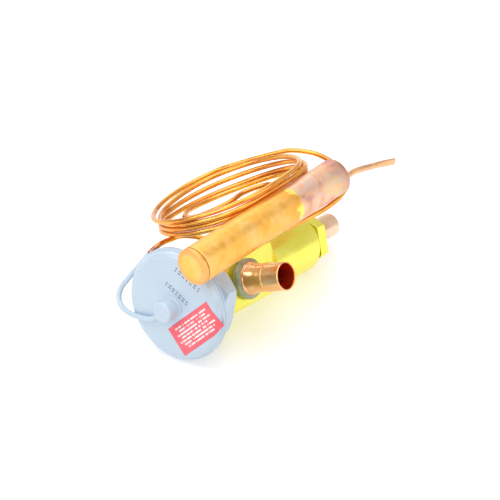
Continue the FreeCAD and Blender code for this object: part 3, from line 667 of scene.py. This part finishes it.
def build_label(columns=56, rows=28):
    spin = math.radians(LABEL_TURN)
    places, uvs, faces = [], [], []
    for row in range(rows + 1):
        for column in range(columns + 1):
            u, v = column / columns, row / rows
            a, b = (u - 0.5) * LABEL_LENGTH, (v - 0.5) * LABEL_WIDTH
            x = LABEL_X + a * math.cos(spin) - b * math.sin(spin)
            y = LABEL_Y + a * math.sin(spin) + b * math.cos(spin)
            places.append(on_case(x, y, LABEL_LIFT))
            uvs.append((u, v))
    wide = columns + 1
    for row in range(rows):
        for column in range(columns):
            low = row * wide + column
            faces.append((low, low + wide, low + wide + 1, low + 1))
    piece = mesh_piece("label_film", places, faces, sharp=80)
    layer = piece.data.uv_layers.new(name="UVMap")
    for loop in piece.data.loops:
        layer.data[loop.index].uv = uvs[loop.vertex_index]
    solid = piece.modifiers.new("thickness", "SOLIDIFY")
    solid.thickness = LABEL_THICK / MM_PER_METRE
    solid.offset = -1
    return piece


label = build_label()
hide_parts("element_label")
dress(label, sticker_finish())


# Two rows of plain strokes stamped on the face: pairs side by side, and every third pair shorter.

# Each row's start and end on the face, and half of how far the strokes of a pair lie apart.
STROKE_ROWS = [((8.4, -20.0), (21.1, -7.1)), ((-0.1, -13.2), (10.9, -0.8))]
STROKE_OFFSET = 0.75
PAIRS_PER_ROW = 7
# Half of a stroke's length, in the longer and in the shorter pairs, and half of its width.
HALF_LONG = 0.78
HALF_SHORT = 0.48
HALF_WIDE = 0.30


def build_strokes():
    places, faces = [], []
    for row_start, row_end in STROKE_ROWS:
        start, end = Vector((*row_start, 0)), Vector((*row_end, 0))
        along = (end - start).normalized()
        side = Vector((-along.y, along.x, 0))
        step = (end - start).length / PAIRS_PER_ROW
        for index in range(PAIRS_PER_ROW):
            half_long = HALF_LONG if index % 3 else HALF_SHORT
            for offset in (-STROKE_OFFSET, STROKE_OFFSET):
                middle = start + along * step * (index + 0.5) + side * offset
                first = len(places)
                for a, b in ((-1, -1), (1, -1), (1, 1), (-1, 1)):
                    spot = middle + along * a * half_long + side * b * HALF_WIDE
                    places.append(VALVE_TURNED @ Vector((spot.x, spot.y, -CASE_DEPTH - 0.02)))
                faces.append((first + 3, first + 2, first + 1, first))
    return mesh_piece("ink_strokes", places, faces)


ink = build_strokes()
dress(ink, ink_finish())


# The outlet: a brazed ring, a flared tube with a rolled stop, and its open socket.

def braze_ripple(angle, r, z):
    """A slightly uneven fillet, as brazing leaves it, on the ring's outer side alone."""
    if r < 9.2:
        return 0.0
    return 0.12 * math.sin(3 * angle + 0.6) + 0.07 * math.sin(7 * angle + 2.0)


BRAZE_OUTLINE = [
    (8.62, 14.5, 0), (9.9, 14.5, 0), (10.35, 15.6, 0.9), (10.3, 17.3, 0.9), (9.3, 18.2, 0.7),
    (8.62, 18.6, 0),
]
ring = turned("braze_ring", BRAZE_OUTLINE, OUTLET_TURNED, closed=True, ripple=braze_ripple)
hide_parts("outlet_ring")
dress(ring, dull_braze())

OUTLET_OUTLINE = [
    # The spigot in the body, and the bell that narrows to the tube.
    (5.5, 10.6, 0), (7.9, 10.6, 0), (7.9, 14.45, 0), (8.55, 14.5, 0), (8.6, 18.6, 1.2), (8.0, 19.6, 1.6),
    (7.2, 24.2, 2.0), (7.1, 28.7, 0.5),
    # The rolled stop.
    (7.12, 29.0, 0.2), (7.38, 29.35, 0.25), (7.38, 29.85, 0.25), (7.05, 30.15, 0.15), (7.15, 30.6, 0.2),
    # The open end, and the socket down to its step.
    (7.15, 40.65, 0.25), (6.95, 40.95, 0.2), (6.6, 40.95, 0.2), (6.4, 40.6, 0.2), (6.4, 27.95, 0),
    (5.5, 27.95, 0),
]
stub = turned("outlet_tube", OUTLET_OUTLINE, OUTLET_TURNED, closed=True)
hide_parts("outlet_stub")
dress(stub, outlet_finish())


# The inlet tube, with its rim broken round.

INLET_OUTLINE = [
    (4.8, 100.1, 0), (6.4, 100.1, 0), (6.4, 125.4, 0.8), (6.1, 126.1, 0.3), (5.1, 126.1, 0.3),
    (4.8, 125.7, 0.3),
]
inlet = turned("inlet_tube_drawn", INLET_OUTLINE, VALVE_TURNED, closed=True, around=96)
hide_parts("inlet_tube")
dress(inlet, PALE_COPPER)


# The bulb, with its pressed-in end and the crease behind it.

def dents(angle, r, z):
    """The soft waviness of a drawn tube that has been handled. There is none near its axis."""
    if r < 6:
        return 0.0
    return 0.035 * math.sin(2 * angle + z * 0.05) + 0.03 * math.sin(3 * angle - z * 0.11)


SHELL_NEAR_END = [(8.7, 2.95, 0), (8.95, 2.8, 0.1), (9.42, 3.15, 0.35), (9.48, 4.2, 0.5)]
# Rings every 8 mm, for the dents to show on.
SHELL_SIDE = [(9.48, 8 + 8 * step, 0) for step in range(12)]
SHELL_FAR_END = [
    (9.48, 107.0, 0), (9.45, 110.0, 2.6), (6.5, BULB_LENGTH, 0.8), (0, BULB_LENGTH, 0),
    (0, 110.2, 0), (6.4, 110.2, 0), (8.7, 107.6, 0),
]
shell = turned("bulb_tube", SHELL_NEAR_END + SHELL_SIDE + SHELL_FAR_END, BULB_TURNED, ripple=dents)
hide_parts("bulb_shell")
dress(shell, BULB)

CAP_OUTLINE = [
    (0, 0.75, 0), (5.4, 0.6, 1.2), (7.2, 0.0, 0.9), (9.42, 0.5, 1.9), (9.46, 2.3, 0.4),
    (8.95, 2.7, 0.1), (8.65, 2.75, 0), (8.65, 3.9, 0), (0, 3.9, 0),
]
cap = turned("bulb_end", CAP_OUTLINE, BULB_TURNED)
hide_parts("bulb_cap")
dress(cap, BULB)


# The capillary: out of the boss, round behind the rim, under the bulb, nearly five loose turns,
# and back into the bulb's far end.

# From the boss to behind the rim, in the valve's frame.
LEAD = [
    (-8.0, 10.9, -10.5), (-7.1, 20.9, -13.5), (-5.9, 27.0, -14.3), (-4.5, 31.8, -14.1),
    (-2.8, 35.6, -12.6), (-0.9, 37.4, -9.8), (0.9, 37.3, -6.4), (2.4, 35.8, -2.8),
    (3.6, 33.6, 1.5), (4.2, 30.2, 7.2), (4.5, 27.2, 12.4), (6.0, 24.9, 16.8),
    (9.2, 23.8, 19.2), (13.9, 24.0, 19.4), (19.3, 24.4, 18.7),
]
# Under the bulb and up to the coil, in the coil's frame.
UNDER_BULB = [
    (-32.9, 9.2, -9.8), (-29.2, 2.4, -12.7), (-26.0, -5.3, -17.2), (-19.6, -14.7, -22.8),
    (-10.1, -19.4, -25.0), (-1.1, -23.2, -25.8), (8.1, -25.9, -26.9), (18.3, -29.1, -27.3),
    (28.2, -32.0, -27.2), (39.4, -34.1, -25.6), (48.5, -32.8, -22.0), (53.0, -26.5, -15.0),
    (53.0, -17.0, -7.0), (50.0, -8.0, -2.0),
]
# Where the coil starts, as (degrees round, radius, height) in the coil's frame.
COIL_START = (360, 46.5, 0.3)
# The turns: the radius and the height at each quarter of each turn.
TURNS = [
    [(45.0, 1.0), (40.3, 0.5), (37.0, 0.1), (38.9, 0.0)],
    [(39.8, 0.0), (37.3, -1.6), (38.3, -2.7), (41.0, -3.0)],
    [(37.2, -3.7), (38.4, -4.1), (36.5, -5.4), (41.0, -5.7)],
    [(37.0, -8.2), (39.0, -6.7), (37.0, -8.1), (41.0, -8.3)],
    [(33.0, -9.2), (25.5, -5.5)],
]
QUARTER_STEPS = 6
# The last stretch, across the inside of the turns, as (degrees round, radius, height).
COIL_END = [
    (180, 25.5, -3.2), (201, 23.6, -2.4), (225, 19, -2), (255, 14.5, -1.7), (285, 21, -2.5),
    (305, 24, -6), (322, 29, -10.5), (331, 37, -12), (336, 46, -12),
]
# The bend into the bulb's far end, in the valve's frame.
TAIL = [(103.8, -5.6, 43.1), (105.5, -10.3, 44.9), (103.3, -15.0, 46.5)]

# The way out of the boss: its direction in degrees, and its height over the case's face.
EXIT_TURN = 155.0
EXIT_HEIGHT = 3.1
# Where the capillary and the charging tube enter the bulb's far end, across the bulb, and how deep.
CAPILLARY_ENTRY = (-3.8, 2.0)
CHARGING_ENTRY = (0.7, 4.2)
ENTRY_DEPTH = 0.6
# How far the capillary keeps from the bulb's axis, and over what length it bends away.
CLEAR = BULB_R + CAPILLARY_R + 0.15
SOFTNESS = 2.5
# The painted stretch: its length, the paint's thickness and the length that its end tapers over.
PAINT_END = 72.5
PAINT_THICK = 0.14
PAINT_TAPER = 2.0


def on_coil(angle, radius, height):
    turn = math.radians(angle)
    return Vector((radius * math.cos(turn), radius * math.sin(turn), height))


def beside_bulb(point):
    """A turn's point in the coil's frame, pressed in softly where it would run into the bulb."""
    rows = (COIL_X, COIL_Y, COIL_NORMAL)
    start = Vector([axis.dot(BULB_NEAR - COIL_CENTRE) for axis in rows])
    along = Vector([axis.dot(BULB_ALONG) for axis in rows])
    axis = start + along * ((point.x - start.x) / along.x)
    above = min(abs(point.z - axis.z), CLEAR)
    limit = axis.y + math.sqrt(CLEAR ** 2 - above ** 2)
    pressed = limit + SOFTNESS * math.log(1 + math.exp((point.y - limit) / SOFTNESS))
    return Vector((point.x, pressed, point.z))


def coil_points():
    stations = [quarter for turn in TURNS for quarter in turn]
    points = [on_coil(*COIL_START)]
    for index, (start, end) in enumerate(zip(stations, stations[1:])):
        for step in range(QUARTER_STEPS):
            part = step / QUARTER_STEPS
            ease = (1 - math.cos(math.pi * part)) / 2
            radius = start[0] + (end[0] - start[0]) * ease
            height = start[1] + (end[1] - start[1]) * ease
            points.append(on_coil(90 * (index + part + 0.5), radius, height))
    points.append(on_coil(90 * (len(stations) - 0.5), *stations[-1]))
    points += [on_coil(*place) for place in COIL_END]
    return [coil_place(*beside_bulb(point)) for point in points]


def far_end_place(entry, beyond):
    """A place on a tube that enters the bulb's far end, so far beyond that end."""
    return BULB_TURNED @ Vector((*entry, BULB_LENGTH + beyond))


def capillary_route():
    spin = math.radians(EXIT_TURN)
    way = Vector((math.cos(spin), math.sin(spin), 0))
    exit_at = Vector((0, 0, -CASE_DEPTH - EXIT_HEIGHT))
    inside, outside = BOSS_R * 0.55, BOSS_R + 1.5
    points = [VALVE_TURNED @ (way * reach + exit_at) for reach in (inside, outside)]
    points += [valve_place(*place) for place in LEAD]
    points += [coil_place(*place) for place in UNDER_BULB]
    points += coil_points()
    points += [valve_place(*place) for place in TAIL]
    points += [far_end_place(CAPILLARY_ENTRY, beyond) for beyond in (3.0, -ENTRY_DEPTH)]
    return points


route = soft_path(capillary_route())
route_length = sum((b - a).length for a, b in zip(route, route[1:]))


def painted_thicker(share):
    """The capillary's half widths: the painted stretch is thicker by its paint."""
    under = min(max((PAINT_END - share * route_length) / PAINT_TAPER, 0.0), 1.0)
    return (CAPILLARY_R + PAINT_THICK * under,) * 2


capillary = tube("capillary_coil", route, CAPILLARY_R, shape=painted_thicker)
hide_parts("capillary_tube")
dress(capillary, capillary_finish(PAINT_END))


# The superheat spring, built at one length; in the valve it shortens as the pin lifts.

# Where its room starts along the valve, and how long that room is.
SPRING_START = 58.0
SPRING_ROOM = 17.5
# The radius of its turns, and the thickness of its wire.
SPRING_R = 6.3
SPRING_WIRE = 1.5
SPRING_TURNS = 5
SPRING_STEPS = 32
# The part of a turn that lies nearly flat at each end, and what it still rises.
FLAT_TURN = 0.6
FLAT_RISE = 0.25


def spring_path():
    """The spring's wire between the carrier and its seat, closed up at both ends."""
    # A little over half the wire, so that it stays clear of the carrier and the seat.
    inset = SPRING_WIRE * 0.52
    low = SPRING_START + inset
    high = SPRING_START + SPRING_ROOM - inset
    points = []
    for step in range(SPRING_TURNS * SPRING_STEPS + 1):
        turn = step / SPRING_STEPS
        share = min(max((turn - FLAT_TURN) / (SPRING_TURNS - 2 * FLAT_TURN), 0.0), 1.0)
        flat_turns = min(turn, FLAT_TURN) + max(turn - SPRING_TURNS + FLAT_TURN, 0.0)
        along = low + (high - low - 2 * FLAT_RISE) * share + FLAT_RISE * flat_turns / FLAT_TURN
        angle = 2 * math.pi * turn
        spot = Vector((SPRING_R * math.cos(angle), SPRING_R * math.sin(angle), along))
        points.append(VALVE_TURNED @ spot)
    return points


spring = tube("spring_wire", spring_path(), SPRING_WIRE / 2)
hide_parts("superheat_spring")
dress(spring, STEEL)
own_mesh(spring)


# The charging tube, from the bulb's far end to its pinched tip.

# Its places beyond the bulb, in the valve's frame.
CHARGING = [(106.7, -22.0, 46.1), (122.9, -24.0, 45.3), (138.3, -26.0, 43.5)]
# The shares of its length where the pinch starts and over which it deepens.
PINCH_START = 0.66
PINCH_SHARE = 0.14
# The shares of its radius that the tube loses one way and gains the other way there.
FLATTER = 0.42
WIDER = 0.22


def pinched(share):
    """The charging tube's half widths: round, and pressed flat and wider near its end."""
    press = min(max((share - PINCH_START) / PINCH_SHARE, 0.0), 1.0)
    press = press * press * (3 - 2 * press)
    return CHARGE_R * (1 - FLATTER * press), CHARGE_R * (1 + WIDER * press)


charging_route = [far_end_place(CHARGING_ENTRY, beyond) for beyond in (-ENTRY_DEPTH, 2.0)]
charging_route += [valve_place(*place) for place in CHARGING]
charging = tube("charging_stub", soft_path(charging_route, 16), CHARGE_R, sides=24, shape=pinched)
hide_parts("charging_tube")
dress(charging, STUB_COPPER)


# The CAD's own shapes, each with its finish. Their faceted normals go, and each is welded and
# split at its sharp edges, so that it shades smoothly between them.

NODE_FINISH = {
    "lower_case": PAINT, "element_nut": LIT_NUT_PAINT, "valve_body": BRASS, "inlet_nut": BRASS,
    "port_insert": plain_metal("insert_brass", (0.86, 0.66, 0.24), 0.28),
    "buffer_plate": plain_metal("plate_brass", (0.84, 0.64, 0.26), 0.32),
    "pin_carrier": plain_metal("carrier_brass", (0.85, 0.66, 0.28), 0.30),
    "spring_seat": plain_metal("seat_brass", (0.82, 0.64, 0.27), 0.34),
    "adjusting_nut": plain_metal("adjuster_brass", (0.86, 0.68, 0.28), 0.30),
    "diaphragm": STEEL, "push_rods": STEEL, "valve_pin": STEEL,
    "inlet_strainer": plain_metal("strainer_wire", (0.66, 0.64, 0.60), 0.42, 900),
    "body_gasket": rubber_finish(),
}
WELD_METRES = 2e-6
SPLIT_DEGREES = 28


def dress_node(node, finish):
    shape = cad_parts[node]
    dress(shape, finish)
    if "custom_normal" in shape.data.attributes:
        shape.data.attributes.remove(shape.data.attributes["custom_normal"])
    for face in shape.data.polygons:
        face.use_smooth = True
    weld = shape.modifiers.new("weld", "WELD")
    weld.merge_threshold = WELD_METRES
    split = shape.modifiers.new("split", "EDGE_SPLIT")
    split.split_angle = math.radians(SPLIT_DEGREES)


for node_and_finish in NODE_FINISH.items():
    dress_node(*node_and_finish)


# The stage: a pale floor that keeps the object's shadow, a white backdrop, and soft lamps.

WHITE = (1, 1, 1, 1)
FLOOR_HALF = 4.0
# The strength of the backdrop's light, and how far from there to white the metals mirror it.
WORLD_LEVEL = 0.42
GLOSSY_SHARE = 0.5


def stage_finish():
    """A pale floor that turns white to the camera, and in reflections, away from the object."""
    near, far, near_level = 0.3, 1.2, 0.32
    finish = Finish("stage_white")
    finish.set(base=(0.90, 0.90, 0.90, 1), rough=0.32, spec=0.35)
    finish.shader.inputs["Emission Color"].default_value = WHITE
    ray = finish.add("ShaderNodeLightPath").outputs
    seen = finish.math("MAXIMUM", ray["Is Camera Ray"], ray["Is Glossy Ray"])
    seen = finish.math("MAXIMUM", seen, ray["Is Transmission Ray"])
    whiter = finish.band(finish.away((0, 0, 0)), near, far, near_level, 1.0)
    finish.link(finish.times(seen, whiter), finish.shader.inputs["Emission Strength"])
    return finish.material


def build_floor():
    corners = [(-1, -1), (1, -1), (1, 1), (-1, 1)]
    mesh = bpy.data.meshes.new("floor")
    mesh.from_pydata([(x * FLOOR_HALF, y * FLOOR_HALF, 0) for x, y in corners], [], [(0, 1, 2, 3)])
    floor = bpy.data.objects.new("floor", mesh)
    bpy.context.collection.objects.link(floor)
    floor.data.materials.append(stage_finish())


def build_world():
    """A backdrop that is white to the camera and through glass, and plain for the light it gives."""
    world = bpy.data.worlds.new("studio")
    bpy.context.scene.world = world
    world.use_nodes = True
    nodes = Nodes(world.node_tree)
    backdrop = world.node_tree.nodes["Background"]
    backdrop.inputs["Color"].default_value = WHITE
    ray = nodes.add("ShaderNodeLightPath").outputs
    seen = nodes.math("MAXIMUM", ray["Is Camera Ray"], ray["Is Transmission Ray"])
    seen = nodes.math("MAXIMUM", seen, nodes.times(ray["Is Glossy Ray"], GLOSSY_SHARE))
    nodes.link(nodes.band(seen, 0.0, 1.0, WORLD_LEVEL, 1.0), backdrop.inputs["Strength"])


# Each lamp's name, place, size and power. All of them are aimed at the object.
LAMPS = [
    ("lamp_over", (-0.05, 0.05, 0.95), (1.1, 0.9), 4.8),
    ("lamp_left", (-0.95, -0.20, 0.55), (0.7, 0.8), 3.15),
    ("lamp_front", (0.10, -0.95, 0.50), (0.9, 0.5), 2.5),
    ("lamp_rim", (-0.60, 0.55, 0.66), (0.16, 0.34), 1.6),
    ("lamp_back", (0.60, 0.80, 0.60), (0.8, 0.5), 1.6),
]
LAMP_AIM = Vector((0, 0, 0.03))


def area_lamp(name, place, size, power):
    data = bpy.data.lights.new(name, "AREA")
    data.shape = "RECTANGLE"
    data.size, data.size_y = size
    data.energy = power
    lamp = bpy.data.objects.new(name, data)
    bpy.context.collection.objects.link(lamp)
    lamp.location = place
    lamp.rotation_euler = (LAMP_AIM - Vector(place)).to_track_quat("-Z", "Y").to_euler()


build_floor()
build_world()
for lamp in LAMPS:
    area_lamp(*lamp)


# The camera is fitted to the photograph: it stands back from the middle of the element's rim, and
# looks aside by as much as brings that middle to DISC_AT. DISC_AT and the focal length are in the
# photograph's pixels.

BACK = Vector((-0.6202, -0.5196, 0.5877)).normalized()
RIGHT = Vector((0.6422, -0.7665, 0.0)).normalized()
DISTANCE = 1088.15
FOCAL = 2213.0
DISC_AT = (179.378, 303.537)
PHOTO_SIDE = 500
SENSOR = 36.0


def build_camera():
    up = BACK.cross(RIGHT)
    middle = PHOTO_SIDE / 2
    look = -BACK + RIGHT * ((middle - DISC_AT[0]) / FOCAL) - up * ((middle - DISC_AT[1]) / FOCAL)
    look.normalize()
    camera_x = look.cross(up).normalized()
    camera_y = camera_x.cross(look)
    turn = Matrix((camera_x, camera_y, -look)).transposed().to_4x4()
    turn.translation = in_metres(CENTRE + BACK * DISTANCE)
    data = bpy.data.cameras.new("camera")
    data.sensor_width = SENSOR
    data.lens = FOCAL / PHOTO_SIDE * SENSOR
    data.clip_start, data.clip_end = 0.05, 20.0
    camera = bpy.data.objects.new("camera", data)
    bpy.context.collection.objects.link(camera)
    camera.matrix_world = turn
    bpy.context.scene.camera = camera


build_camera()
bpy.context.scene.view_settings.view_transform = "Standard"
